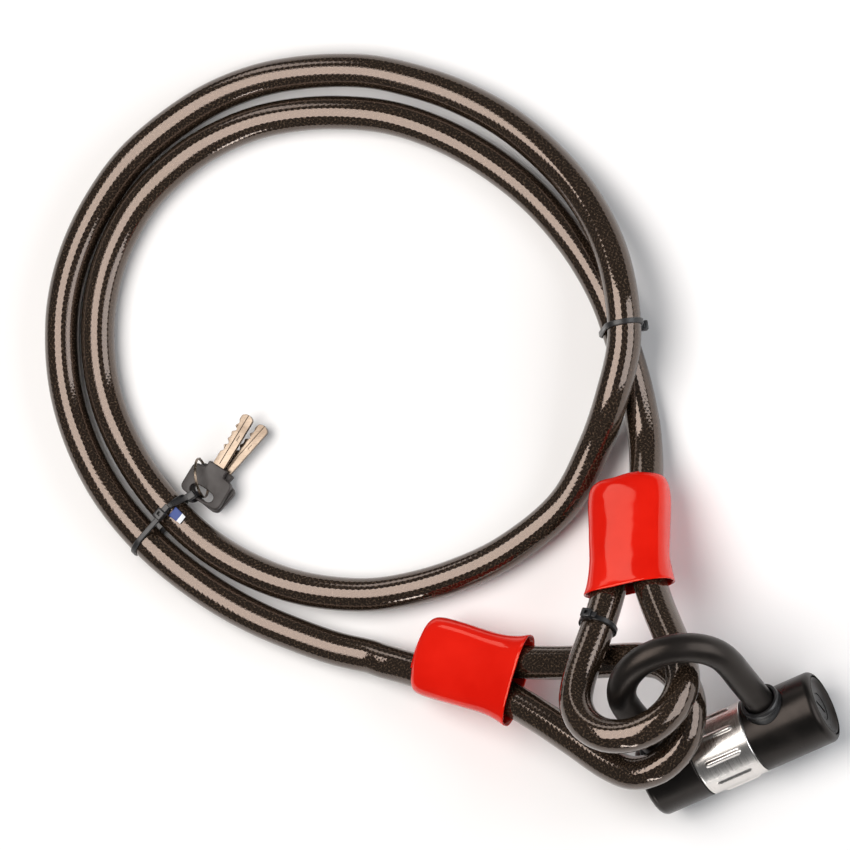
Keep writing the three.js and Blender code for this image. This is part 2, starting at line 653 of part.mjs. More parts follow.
// Narrow strap: an upright loop through both slots, its head and a tail toward the coil tie.
function keyStrap() {
  const { radius, spread, thick, width, azimuth, aside, reach } = KEY_STRAP;
  const ring = (r) => circle(1, 24).map((p) => new THREE.Vector2(
    r * p.x, r * p.y + spread * Math.sign(Math.round(p.y * 1000) || 1)));
  const section = new THREE.Shape(ring(radius + thick));
  section.holes.push(new THREE.Path(ring(radius).reverse()));
  const band = new THREE.ExtrudeGeometry(section, { depth: width, bevelEnabled: false });
  const middle = KEY.lift + KEY.bow[2] + GAP / 2;
  band.rotateX(Math.PI / 2).translate(reach, aside + width / 2, middle);
  const top = middle + radius + spread + thick / 2;
  const head = box(reach - 2, reach + 2, aside - 1.7, aside + 1.7, top - 0.3, top + 2.6);
  const tail = box(0, STRAP_TAIL.length, -width / 2, width / 2, 0, thick);
  tail.rotateY(-STRAP_TAIL.slope * RADIANS).translate(reach + 1, aside, top + 1.6);
  const strap = toSolid(band).add(toSolid(head)).add(toSolid(tail));
  return piece('key_strap', toGeometry(strap).applyMatrix4(holeFrame(azimuth)), MATERIAL.nylon);
}

// ---- Assembly -----------------------------------------------------------
const lock = new THREE.Group();
lock.name = 'loop_cable_lock';
lock.add(...longCable(), ...TERMINALS.map(terminal), padlock(), ties());
lock.add(keys(), keyRing(), keyStrap(), paperTag());
lock.position.set(-ORIGIN.x, -ORIGIN.y, 0);

export default lock;
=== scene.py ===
# Loop cable with two eyes and a barrel padlock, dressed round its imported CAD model.
# Metres, in the CAD model's frame; the small dimensions below are written in millimetres.
import math

import bmesh
import bpy
from mathutils import Matrix, Vector, noise


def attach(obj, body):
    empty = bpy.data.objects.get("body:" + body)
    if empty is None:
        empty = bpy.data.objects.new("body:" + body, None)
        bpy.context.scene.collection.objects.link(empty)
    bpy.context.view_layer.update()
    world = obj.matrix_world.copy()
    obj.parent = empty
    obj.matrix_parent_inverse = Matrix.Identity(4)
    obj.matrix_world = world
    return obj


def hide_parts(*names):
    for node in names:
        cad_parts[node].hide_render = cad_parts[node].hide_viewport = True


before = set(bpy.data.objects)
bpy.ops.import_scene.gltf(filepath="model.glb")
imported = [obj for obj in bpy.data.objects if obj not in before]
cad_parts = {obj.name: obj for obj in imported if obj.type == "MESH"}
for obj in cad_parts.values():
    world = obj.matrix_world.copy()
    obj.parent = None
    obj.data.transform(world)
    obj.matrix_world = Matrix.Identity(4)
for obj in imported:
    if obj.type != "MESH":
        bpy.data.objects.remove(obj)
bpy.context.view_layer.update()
MM = 0.001
ROOT = "cable_and_lock"

# ---- Dimensions shared with the CAD model --------------------------------
ORIGIN = (8.4, -5.8)
CABLE_RADIUS, LANE = 7.5, 7.9
EYE_RADIUS, EYE_SLEEVE_END, CABLE_END, LEAD_STRAIGHT = 25, -9, -44.3, -50
BOOT_LENGTH, BOOT_END_WALL, LIP_FROM = 52, 3, -15
TERMINALS = {
    "1": dict(mouth=(105, -76.2, 38.8), azimuth=-81, pitch=26, reach=80, side=1, slant=(0, 7.5),
              drops=((57, 13.8), (64, 11.2), (71, 9.4), (79, 8.3))),
    "2": dict(mouth=(50, -117.2, 26.3), azimuth=-17, pitch=14, reach=91, side=-1, slant=(-2.7, 2.7),
              drops=((57, 12.2), (64, 10.5), (72, 9.2))),
}
LOCK_PLACE, LOCK_AZIMUTH, LOCK_RAISE = (147.5, -146.5, 17), 21.3, 60
BARREL_RADIUS, BARREL_HALF, SKIN, DISH_DEPTH, RIM_ROUND = 16.5, 43, 1.6, 1.8, 3.0
BAND_FROM, BAND_TO, BAND_PROUD = -18, 9, 0.12
RIBS, RIB_LENGTH, RIB_WIDTH, RIB_HEIGHT, RIB_TURN = 9, 17, 2.4, 0.75, 0.35
RIB_FADE = 1.25
COLLAR_HOLE = 9.2
LEG_RIGHT, LEG_LEFT, STRAIGHT = 20.5, -29.5, 50
SHACKLE_COAT, COAT_FROM = 6.5, 14.9
PLUG_RADIUS = 6.2
KEY_LIFT, KEY_BOW, KEY_BLADE = 5.2, (18.5, 20.8, 3.1), (34.5, 5.8, 1.9)
KEY_NECK, KEY_SHOULDER, KEY_BULGE, SLOT, SLOT_AT = 4.7, 5.2, 1.4, (2.5, 6.0), -4.9
KEY_BLADE_FROM = 0.8
KEYS = {"1": ((-99.3, -23.8), 57, 1), "2": ((-98.4, -24.4), 46, 0)}
GAP = 0.3

# Cable route from boot 2 round the coil to boot 1, past each boot's straight lead-in.
ROUTE = [
    (-24, -102.5, 8.2), (-40, -98.5, 7.7), (-57, -92.5, 7.7), (-79, -83, 7.7), (-102, -69.5, 7.7),
    (-125, -51, 9.2), (-144.5, -29, 9.0), (-157.5, -7, 7.7), (-165.5, 16, 7.7), (-168.5, 38, 7.7),
    (-167.5, 60, 7.7), (-161.5, 82, 7.7), (-150, 104, 7.7), (-134, 123.5, 7.7), (-104, 144.5, 7.7),
    (-79, 154, 7.7), (-55, 157.5, 7.7), (-28, 157, 7.7), (-9, 153, 7.7), (14, 145, 7.7),
    (38, 132, 8.2), (60, 114, 10.2), (77, 95, 14.5), (90, 73, 20.2), (97, 50, 24.6),
    (98, 30, 24.9), (92, 8, 22.6), (81, -14, 14.4), (65, -38, 8.8), (38, -58, 7.7),
    (14, -68, 7.7), (-9, -73.5, 7.7), (-28, -75, 7.7), (-55, -71.5, 7.7), (-79, -63, 7.7),
    (-102, -49, 8.8), (-122.5, -29, 9.2), (-138, -7, 7.7), (-147.5, 15, 7.7), (-151.5, 37, 7.7),
    (-150.5, 60, 7.7), (-144.5, 81, 7.7), (-133, 101, 7.7), (-119, 115, 7.7), (-102, 126.5, 7.7),
    (-79, 135.5, 7.7), (-55, 139, 7.7), (-28, 138, 7.7), (-9, 134, 7.7), (14, 124.5, 7.7),
    (37, 110, 7.7), (55, 94.5, 7.7), (72, 74, 7.7), (85, 52, 8.8), (93, 30, 9.2),
    (98, 12, 7.7),
]


# ---- Shape helpers -------------------------------------------------------
def smooth(points, per=10):
    """Centripetal Catmull-Rom curve through the points, the same one the CAD model uses."""
    p = [Vector(q) for q in points]
    p = [2 * p[0] - p[1]] + p + [2 * p[-1] - p[-2]]
    out = []
    for i in range(1, len(p) - 2):
        a, b, c, d = p[i - 1:i + 3]
        t1, t2, t3 = (b - a).length ** 0.5, (c - b).length ** 0.5, (d - c).length ** 0.5
        m1 = ((b - a) / t1 - (c - a) / (t1 + t2) + (c - b) / t2) * t2
        m2 = ((c - b) / t2 - (d - b) / (t2 + t3) + (d - c) / t3) * t2
        for k in range(per):
            t = k / per
            out.append((2 * t**3 - 3 * t**2 + 1) * b + (t**3 - 2 * t**2 + t) * m1
                       + (3 * t**2 - 2 * t**3) * c + (t**3 - t**2) * m2)
    out.append(p[-2])
    return out


def evenly(points, step):
    """The same line with points a fixed distance apart."""
    lengths = [0]
    for a, b in zip(points, points[1:]):
        lengths.append(lengths[-1] + (b - a).length)
    count = max(2, round(lengths[-1] / step))
    out, i = [], 0
    for k in range(count + 1):
        want = lengths[-1] * k / count
        while i < len(points) - 2 and lengths[i + 1] < want:
            i += 1
        span = lengths[i + 1] - lengths[i] or 1
        out.append(points[i].lerp(points[i + 1], (want - lengths[i]) / span))
    return out


def piece(name, verts, faces, place=None, uvs=None):
    """A mesh object from millimetre points, put in place by a millimetre matrix."""
    place = place or Matrix.Identity(4)
    mesh = bpy.data.meshes.new(name)
    mesh.from_pydata([(place @ Vector(v)) * MM for v in verts], [], faces)
    if uvs:
        layer = mesh.uv_layers.new(name="Lay")
        for poly in mesh.polygons:
            for loop, uv in zip(poly.loop_indices, uvs[poly.index]):
                layer.data[loop].uv = uv
    mesh.validate()
    mesh.shade_smooth()
    obj = bpy.data.objects.new(name, mesh)
    bpy.context.collection.objects.link(obj)
    return obj


def sweep(points, outline, closed=False):
    """Rings of an outline (across, up) carried along a line without twist; with lengths."""
    rings, lengths, across = [], [], None
    total = 0
    for i, p in enumerate(points):
        before = points[i - 1] if i or closed else p
        after = points[(i + 1) % len(points)] if i + 1 < len(points) or closed else p
        along = (after - before).normalized()
        if across is None:
            across = along.cross(Vector((0, 0, 1)))
            if across.length < 0.1:
                across = along.cross(Vector((0, 1, 0)))
        across = (across - along * across.dot(along)).normalized()
        up = across.cross(along)
        rings.append([p + across * a + up * b for a, b in outline])
        if i:
            total += (p - points[i - 1]).length
        lengths.append(total)
    return rings, lengths


def circle(radius, sides):
    return [(radius * math.cos(2 * math.pi * i / sides), radius * math.sin(2 * math.pi * i / sides))
            for i in range(sides)]


def skin(rings, lengths=None, closed=False, caps=True):
    """Points, faces and face texture places of a row of equal rings."""
    n = len(rings[0])
    verts = [v for ring in rings for v in ring]
    lengths = lengths or list(range(len(rings)))
    faces, uvs = [], []
    for r in range(len(rings) - (0 if closed else 1)):
        s = (r + 1) % len(rings)
        for i in range(n):
            j = (i + 1) % n
            faces.append((r * n + i, r * n + j, s * n + j, s * n + i))
            end = lengths[s] if s else lengths[-1] + lengths[1]
            v0, v1 = i / n, (i + 1) / n
            uvs.append(((lengths[r], v0), (lengths[r], v1), (end, v1), (end, v0)))
    if caps and not closed:
        faces += [tuple(range(n))[::-1], tuple((len(rings) - 1) * n + i for i in range(n))]
        uvs += [[(0, 0)] * n, [(0, 0)] * n]
    return verts, faces, uvs


def tube(name, points, radius, sides=24, closed=False, place=None):
    rings, lengths = sweep(points, circle(radius, sides), closed)
    verts, faces, uvs = skin(rings, lengths, closed)
    faces = [f[::-1] for f in faces]
    uvs = [list(u)[::-1] for u in uvs]
    return piece(name, verts, faces, place, uvs)


def lathe(name, profile, place, sides=96, axis="x"):
    """Closed solid of revolution: profile is a loop of (along, radius) points."""
    rings = []
    for k in range(sides):
        a = 2 * math.pi * k / sides
        c, s = math.cos(a), math.sin(a)
        rings.append([(x, r * c, r * s) if axis == "x" else (r * c, x, -r * s) for x, r in profile])
    verts, faces, uvs = skin(rings, closed=True)
    return outward(piece(name, verts, faces, place, uvs))


def outward(obj):
    """Turns every face outward."""
    bm = bmesh.new()
    bm.from_mesh(obj.data)
    bmesh.ops.remove_doubles(bm, verts=bm.verts, dist=1e-7)
    bmesh.ops.recalc_face_normals(bm, faces=bm.faces)
    bm.to_mesh(obj.data)
    bm.free()
    return obj


def settle(obj):
    """Applies an object's modifiers to its mesh."""
    bpy.context.view_layer.update()
    mesh = bpy.data.meshes.new_from_object(obj.evaluated_get(bpy.context.evaluated_depsgraph_get()))
    obj.modifiers.clear()
    obj.data = mesh
    return obj


def cut(obj, *tools):
    for tool in tools:
        boolean = obj.modifiers.new("cut", "BOOLEAN")
        boolean.object, boolean.operation, boolean.solver = tool, "DIFFERENCE", "EXACT"
    settle(obj)
    for tool in tools:
        bpy.data.objects.remove(tool)
    return creased(obj)


def creased(obj, angle=35):
    """Smooth shading with edges sharper than the angle kept crisp."""
    obj.data.set_sharp_from_angle(angle=math.radians(angle))
    return obj


def rod(a, b, radius, place, sides=48):
    rings, lengths = sweep([Vector(a), Vector(b)], circle(radius, sides))
    verts, faces, uvs = skin(rings, lengths)
    return outward(piece("tool", verts, faces, place))


def block(name, low, high, place, round_by=0.0):
    """Box with rounded edges."""
    (x0, y0, z0), (x1, y1, z1) = low, high
    verts = [(x, y, z) for x in (x0, x1) for y in (y0, y1) for z in (z0, z1)]
    faces = [(0, 1, 3, 2), (4, 6, 7, 5), (0, 4, 5, 1), (2, 3, 7, 6), (0, 2, 6, 4), (1, 5, 7, 3)]
    obj = outward(piece(name, verts, faces, place))
    if round_by:
        bevel = obj.modifiers.new("round", "BEVEL")
        bevel.width, bevel.segments, bevel.limit_method = round_by * MM, 3, "NONE"
        settle(obj)
    return obj


def plate(name, outlines, low, high, place, round_by=0.4):
    """Flat moulding with rounded edges from closed outlines; the first is the outside."""
    curve = bpy.data.curves.new(name, "CURVE")
    curve.dimensions, curve.fill_mode = "2D", "BOTH"
    for outline in outlines:
        spline = curve.splines.new("POLY")
        spline.points.add(len(outline) - 1)
        for point, (x, y) in zip(spline.points, outline):
            point.co = (x, y, 0, 1)
        spline.use_cyclic_u = True
    curve.extrude = (high - low) / 2 - round_by
    curve.bevel_depth, curve.bevel_resolution, curve.offset = round_by, 2, -round_by
    drawn = bpy.data.objects.new(name, curve)
    bpy.context.collection.objects.link(drawn)
    bpy.context.view_layer.update()
    mesh = bpy.data.meshes.new_from_object(drawn.evaluated_get(bpy.context.evaluated_depsgraph_get()))
    bpy.data.objects.remove(drawn)
    lift = Matrix.Translation((0, 0, (low + high) / 2))
    mesh.transform(Matrix.Scale(MM, 4) @ place @ lift)
    mesh.name = name
    obj = bpy.data.objects.new(name, mesh)
    bpy.context.collection.objects.link(obj)
    outward(obj)
    mesh.shade_smooth()
    return creased(obj, 30)


def join(name, objs):
    """One object from several."""
    bm = bmesh.new()
    for obj in objs:
        bm.from_mesh(obj.data)
        bpy.data.objects.remove(obj)
    mesh = bpy.data.meshes.new(name)
    bm.to_mesh(mesh)
    bm.free()
    obj = bpy.data.objects.new(name, mesh)
    bpy.context.collection.objects.link(obj)
    return creased(obj)


def stand(obj, material, nodes=(), body=ROOT):
    """Gives a piece its material and body, and hides the CAD nodes it stands in for."""
    obj.data.materials.clear()
    obj.data.materials.append(material)
    if nodes:
        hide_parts(*nodes)
    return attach(obj, body)


# ---- Frames --------------------------------------------------------------
def basis(x, y, z, at):
    m = Matrix((x, y, z)).transposed().to_4x4()
    m.translation = at
    return m


def ground(place):
    """A place measured from the coil's own middle, moved into the CAD model's frame, in millimetres."""
    return Vector((place[0] - ORIGIN[0], place[1] - ORIGIN[1], place[2]))


def terminal_frame(spec):
    a, p = math.radians(spec["azimuth"]), math.radians(spec["pitch"])
    along = Vector((math.cos(p) * math.cos(a), math.cos(p) * math.sin(a), math.sin(p)))
    across = Vector((-math.sin(a), math.cos(a), 0))
    return basis(along, across, along.cross(across), ground(spec["mouth"]))


def lock_frame():
    a, r = math.radians(LOCK_AZIMUTH), math.radians(LOCK_RAISE)
    along = Vector((math.cos(a), math.sin(a), 0))
    level = Vector((-math.sin(a), math.cos(a), 0))
    legs = level * math.cos(r) + Vector((0, 0, math.sin(r)))
    return basis(along, legs, along.cross(legs), ground(LOCK_PLACE))


LOCK = lock_frame()


# ---- Camera --------------------------------------------------------------
CAMERA_AWAY, VIEW_WIDTH, SENSOR = 12.0, 0.374, 36
toward = Vector((0.313, -0.105, 0.944)).normalized()
right = Vector((0.949, 0, -0.315)).normalized()
up = toward.cross(right)
target = Vector((-ORIGIN[0] * MM, -ORIGIN[1] * MM, 0))
camera = bpy.data.objects.new("camera", bpy.data.cameras.new("camera"))
camera.data.sensor_width = SENSOR
camera.data.lens = SENSOR * CAMERA_AWAY / VIEW_WIDTH
camera.data.clip_end = 60
camera.matrix_world = basis(right, up, toward, target + toward * CAMERA_AWAY)
bpy.context.collection.objects.link(camera)
bpy.context.scene.camera = camera


# ---- Materials -----------------------------------------------------------
class Look:
    """A Principled material whose sockets are fed by procedural nodes."""

    def __init__(self, name, roughness, metallic=0.0, coords="Object", **sockets):
        self.material = bpy.data.materials.new(name)
        self.material.use_nodes = True
        self.tree = self.material.node_tree
        self.shader = self.tree.nodes["Principled BSDF"]
        self.shader.inputs["Roughness"].default_value = roughness
        self.shader.inputs["Metallic"].default_value = metallic
        for key, value in sockets.items():
            self.shader.inputs[key.replace("_", " ")].default_value = value
        self.coords = self.node("ShaderNodeTexCoord").outputs[coords]

    def node(self, kind, **settings):
        node = self.tree.nodes.new(kind)
        for key, value in settings.items():
            setattr(node, key, value)
        return node

    def link(self, output, socket):
        self.tree.links.new(output, socket)
        return socket.node

    def into(self, socket, output):
        self.link(output, self.shader.inputs[socket])

    def stretched(self, scale, turn=(0, 0, 0), source=None):
        mapping = self.node("ShaderNodeMapping")
        mapping.inputs["Scale"].default_value = scale
        mapping.inputs["Rotation"].default_value = turn
        self.link(source or self.coords, mapping.inputs["Vector"])
        return mapping.outputs["Vector"]

    def noise(self, scale, detail=3.0, source=None, rough=0.5):
        node = self.node("ShaderNodeTexNoise")
        node.inputs["Scale"].default_value = scale
        node.inputs["Detail"].default_value = detail
        node.inputs["Roughness"].default_value = rough
        self.link(source or self.coords, node.inputs["Vector"])
        return node.outputs["Fac"]

    def math(self, operation, a, b=0.0):
        node = self.node("ShaderNodeMath", operation=operation)
        for socket, value in zip(node.inputs, (a, b)):
            if isinstance(value, (int, float)):
                socket.default_value = value
            else:
                self.link(value, socket)
        return node.outputs[0]

    def spread(self, value, low, high, to_low=0.0, to_high=1.0):
        node = self.node("ShaderNodeMapRange")
        for socket, v in zip(list(node.inputs)[1:5], (low, high, to_low, to_high)):
            socket.default_value = v
        self.link(value, node.inputs[0])
        return node.outputs[0]

    def blend(self, factor, a, b):
        node = self.node("ShaderNodeMix", data_type="RGBA")
        self.link(factor, node.inputs[0])
        for socket, colour in ((node.inputs[6], a), (node.inputs[7], b)):
            if isinstance(colour, tuple):
                socket.default_value = (*colour, 1)
            else:
                self.link(colour, socket)
        return node.outputs[2]

    def bump(self, height, strength, depth, into="Normal"):
        node = self.node("ShaderNodeBump")
        node.inputs["Strength"].default_value = strength
        node.inputs["Distance"].default_value = depth
        self.link(height, node.inputs["Height"])
        self.into(into, node.outputs["Normal"])


def sleeve_look():
    """Smoked clear vinyl over braided steel: warm dark braid under a glossy tinted skin."""
    look = Look("smoked_sleeve", 0.05, 0.0, "UV", IOR=1.9, Specular_Tint=(0.86, 0.68, 0.58, 1),
                Coat_Weight=0.2, Coat_Roughness=0.02)
    split = look.node("ShaderNodeSeparateXYZ")
    look.link(look.coords, split.inputs[0])
    along, around = split.outputs[0], split.outputs[1]
    wires = []
    for sign in (1, -1):
        turn = look.math("MULTIPLY", around, sign * 26 * math.tau)
        wires.append(look.math("SINE", look.math("ADD", look.math("MULTIPLY", along, 2.3), turn)))
    weave = look.math("MAXIMUM", wires[0], wires[1])
    flat = look.stretched((1.1, 44, 1))
    specks = look.noise(1.0, 4, flat, 0.75)
    dirt = look.noise(0.06, 2, flat)
    fleck = look.spread(look.math("ADD", look.math("MULTIPLY", weave, 0.06), specks), 0.54, 0.78)
    dark = look.blend(dirt, (0.0065, 0.0042, 0.0028), (0.017, 0.011, 0.0072))
    look.into("Base Color", look.blend(fleck, dark, (0.135, 0.092, 0.06)))
    look.into("Roughness", look.spread(specks, 0.3, 0.7, 0.03, 0.07))
    look.bump(look.math("ADD", weave, specks), 0.14, 0.00007)
    waves = look.noise(0.11, 1, look.stretched((1, 14, 1)))
    look.bump(waves, 0.12, 0.0006, "Coat Normal")
    return look.material


def plastic_look(name, colour, worn, roughness, grain, depth, **sockets):
    """Moulded plastic: fine grain, uneven sheen and paler handled patches."""
    look = Look(name, roughness, **sockets)
    patches = look.noise(55, 4)
    fine = look.noise(grain, 2)
    look.into("Base Color", look.blend(look.spread(patches, 0.45, 0.75), colour, worn))
    look.into("Roughness", look.spread(look.noise(140, 3), 0.3, 0.7, roughness * 0.82, roughness * 1.18))
    look.bump(fine, 0.35, depth)
    return look.material


def metal_look(name, colour, dull, roughness, brush, depth=0.00004):
    """Metal with a drawn grain along one direction and soft tarnish."""
    look = Look(name, roughness, 1.0)
    grain = look.noise(1.0, 3, look.stretched(brush), 0.6)
    tarnish = look.noise(90, 4)
    look.into("Base Color", look.blend(look.spread(tarnish, 0.4, 0.8), colour, dull))
    look.into("Roughness", look.spread(grain, 0.3, 0.7, roughness * 0.75, roughness * 1.3))
    look.bump(grain, 0.25, depth)
    return look.material


def band_look():
    """Brushed stainless sheet: fine lines round the barrel."""
    look = Look("band_steel", 0.27, 1.0, "UV")
    lines = look.noise(1.0, 3, look.stretched((900, 3, 1)), 0.65)
    cloud = look.noise(9, 3)
    look.into("Base Color", look.blend(cloud, (0.66, 0.63, 0.60), (0.80, 0.77, 0.74)))
    look.into("Roughness", look.spread(lines, 0.3, 0.7, 0.2, 0.34))
    look.bump(lines, 0.12, 0.00003)
    return look.material


def red_look():
    """Dip-moulded red vinyl: very glossy, with faint flow marks."""
    look = Look("red_vinyl", 0.07, 0.0, IOR=1.6, Specular_Tint=(1.0, 0.50, 0.36, 1))
    flow = look.noise(38, 3)
    red = look.blend(look.spread(flow, 0.35, 0.7), (0.66, 0.007, 0.002), (0.76, 0.013, 0.005))
    look.into("Base Color", red)
    look.into("Roughness", look.spread(look.noise(240, 3), 0.3, 0.7, 0.05, 0.1))
    look.bump(look.noise(70, 2), 0.10, 0.0009)
    return look.material


def paper_look():
    """Folded printed paper: blue on one part, white on the rest."""
    look = Look("tag_paper", 0.55, 0.0, "UV")
    split = look.node("ShaderNodeSeparateXYZ")
    look.link(look.coords, split.inputs[0])
    edge = look.math("ADD", split.outputs[0], look.math("MULTIPLY", look.noise(14, 2), 0.03))
    printed = look.spread(edge, 0.66, 0.68)
    fibre = look.noise(60, 4)
    white = look.blend(fibre, (0.72, 0.75, 0.80), (0.86, 0.88, 0.92))
    blue = look.blend(fibre, (0.020, 0.045, 0.20), (0.035, 0.075, 0.28))
    look.into("Base Color", look.blend(printed, blue, white))
    look.bump(fibre, 0.2, 0.00005)
    return look.material


SLEEVE = sleeve_look()
RED = red_look()
BAND = band_look()
CASE = plastic_look("black_case", (0.0042, 0.0040, 0.0038), (0.010, 0.0088, 0.008), 0.31, 2600, 0.00003,
                    IOR=1.38, Specular_Tint=(1.0, 0.86, 0.78, 1))
COAT = plastic_look("shackle_vinyl", (0.0055, 0.005, 0.0047), (0.011, 0.0095, 0.0088), 0.36, 1900, 0.00006,
                    IOR=1.4, Specular_Tint=(1.0, 0.84, 0.74, 1))
NYLON = plastic_look("black_nylon", (0.012, 0.012, 0.013), (0.030, 0.028, 0.027), 0.34, 1500, 0.00005)
BOW = plastic_look("key_bow_plastic", (0.020, 0.015, 0.0135), (0.038, 0.030, 0.027), 0.5, 1700, 0.00009)
NICKEL = metal_look("key_nickel", (0.23, 0.185, 0.145), (0.09, 0.066, 0.048), 0.24, (300, 2200, 300))
BLACKED = metal_look("blackened_plug", (0.030, 0.028, 0.027), (0.016, 0.015, 0.015), 0.3, (1500, 1500, 1500))
STEEL = metal_look("hard_steel", (0.56, 0.56, 0.56), (0.38, 0.37, 0.36), 0.3, (260, 260, 2400))
BRASS = metal_look("lock_brass", (0.68, 0.47, 0.20), (0.42, 0.28, 0.13), 0.3, (1800, 400, 400))
ZINC = metal_look("body_zinc", (0.44, 0.44, 0.45), (0.30, 0.30, 0.31), 0.5, (700, 700, 700), 0.00012)
ALLOY = metal_look("ferrule_metal", (0.62, 0.63, 0.64), (0.42, 0.42, 0.43), 0.36, (900, 300, 900))
ROPE = metal_look("wire_rope", (0.40, 0.36, 0.31), (0.12, 0.10, 0.08), 0.38, (1500, 500, 1500), 0.0003)
PAPER = paper_look()


# ---- The long cable ------------------------------------------------------
def on_lane(spec, x):
    """A place on the long cable's line through a boot."""
    return terminal_frame(spec) @ Vector((x, spec["side"] * LANE, 0))


def lead_in(spec):
    """The cable's straight start inside a boot and its bend down to the floor."""
    points = [on_lane(spec, CABLE_END), on_lane(spec, LEAD_STRAIGHT)]
    for distance, height in spec["drops"]:
        flat = on_lane(spec, -distance)
        points.append(Vector((flat.x, flat.y, height)))
    return points


first, last = lead_in(TERMINALS["2"]), lead_in(TERMINALS["1"])
route = evenly(smooth(first + [ground(p) for p in ROUTE] + last[::-1], 16), 2.2)
cable = tube("long_cable", route, CABLE_RADIUS, 28)
stand(cable, SLEEVE, ["cable_sleeve"])
exit_at = on_lane(TERMINALS["2"], -BOOT_LENGTH)


# ---- Eyes and boots ------------------------------------------------------
def eye_path(reach):
    """Teardrop centre line from inside the boot, round the eye and back."""
    centre = reach - EYE_RADIUS
    span = math.hypot(centre, LANE)
    touch = math.atan2(LANE, -centre) - math.acos(EYE_RADIUS / span)

    def around(a):
        return centre + EYE_RADIUS * math.cos(a), EYE_RADIUS * math.sin(a), 0

    start = around(touch)
    upper = [(EYE_SLEEVE_END, LANE, 0), (-5, LANE, 0)]
    upper += [(start[0] * t, LANE + (start[1] - LANE) * t, 0) for t in (0.3, 0.6)]
    arc = [around(touch * (1 - 2 * i / 8)) for i in range(9)]
    return evenly(smooth(upper + arc + [(x, -y, z) for x, y, z in upper[::-1]], 16), 1.8)


def boot_ring(x, half_width, half_height, power, count=64):
    """Flattened section: crowned top and bottom with rounded sides."""
    ring = []
    for i in range(count):
        a = 2 * math.pi * i / count
        c, s = math.cos(a), math.sin(a)
        y = half_width * math.copysign(abs(c) ** (2 / power), c)
        z = half_height * math.copysign(abs(s) ** (2 / power), s)
        ring.append((x, y, z))
    return ring


BOOT_SECTIONS = [  # along, half width, half height, squareness
    (-52, 13.6, 6.4, 2.3), (-51.6, 15.0, 7.6, 2.4), (-50.6, 16.5, 8.8, 2.6), (-48.8, 17.6, 9.7, 2.8),
    (-45.5, 18.1, 10.2, 3.0), (-38, 18.2, 10.3, 3.1), (-28, 17.9, 10.2, 3.1), (-20, 17.8, 10.1, 3.0),
    (-13, 17.9, 10.0, 2.8), (-8, 18.5, 10.0, 2.7), (-4, 19.4, 10.1, 2.7), (-1.0, 20.5, 10.3, 2.7),
    (-0.2, 20.8, 10.2, 2.7), (0, 20.6, 9.9, 2.7), (-0.1, 20.0, 9.3, 2.7), (-1.4, 19.2, 8.7, 2.7),
    (-6, 17.6, 8.4, 2.6), (-14, 16.2, 8.1, 2.8), (-24, 15.9, 8.0, 3.0), (-24.2, 7.0, 3.0, 2.5),
]


def lip_forward(x, rise, slant):
    """How far the mouth's slant carries a place along the boot; rise runs -1 below to 1 above."""
    share = min(1.0, max(0.0, (x - LIP_FROM) / -LIP_FROM))
    share *= share * (3 - 2 * share)
    return share * (slant[0] * (1 - rise) + slant[1] * (1 + rise)) / 2


def boot(name, spec):
    rings = []
    seed = Vector((3.7 if name == "boot_1" else 11.2, 0, 0))
    for x, w, h, power in BOOT_SECTIONS:
        ring = []
        for point in boot_ring(x, w, h, power):
            p = Vector(point)
            p += p.normalized() * 0.8 * noise.noise(p * 0.11 + seed)
            p.x += lip_forward(x, point[2] / h, spec["slant"])
            ring.append(tuple(p))
        rings.append(ring)
    lane, radius = spec["side"] * LANE, CABLE_RADIUS + 0.15
    hole = [(-BOOT_LENGTH, lane + y, z) for y, z in circle(radius, 64)]
    inside = [(x + BOOT_END_WALL, y, z) for x, y, z in hole]
    verts, faces, _ = skin([inside, hole] + rings)
    obj = outward(piece(name, verts, faces, terminal_frame(spec)))
    sub = obj.modifiers.new("soft", "SUBSURF")
    sub.levels = sub.render_levels = 1
    return settle(obj)


for number, spec in TERMINALS.items():
    frame_here = terminal_frame(spec)
    eye = tube("eye_" + number + "_cable", eye_path(spec["reach"]), CABLE_RADIUS, 28, place=frame_here)
    stand(eye, SLEEVE, ["eye_" + number + "_sleeve"])
    shell = boot("boot_" + number, spec)
    stand(shell, RED, ["boot_" + number])


# ---- Padlock -------------------------------------------------------------
def cover(name, inner, outer, leg, keyed):
    """Cup-shaped end cover with a rolled rim round a dished face."""
    s = 1 if outer > 0 else -1
    rim = [(outer - s * RIM_ROUND * (1 - math.sin(a)), BARREL_RADIUS - RIM_ROUND * (1 - math.cos(a)))
           for a in (math.pi / 2 * i / 8 for i in range(9))]
    dish = [(outer - s * depth, radius)
            for depth, radius in ((0.1, 13.1), (0.5, 12.6), (1.1, 12.0), (1.6, 11.2), (DISH_DEPTH, 10.2))]
    hub = PLUG_RADIUS + GAP if keyed else 0.02
    floor = outer - s * (SKIN + DISH_DEPTH)
    profile = [(inner, BARREL_RADIUS - SKIN), (inner, BARREL_RADIUS - 0.15), (inner + s * 0.2, BARREL_RADIUS)]
    profile += [(outer - s * RIM_ROUND, BARREL_RADIUS)] + rim[::-1][1:]
    profile += dish + [(outer - s * DISH_DEPTH, hub), (floor, hub), (floor, BARREL_RADIUS - SKIN)]
    obj = lathe(name, profile, LOCK, 128)
    return cut(obj, rod((leg, 8, 0), (leg, 30, 0), COLLAR_HOLE, LOCK))


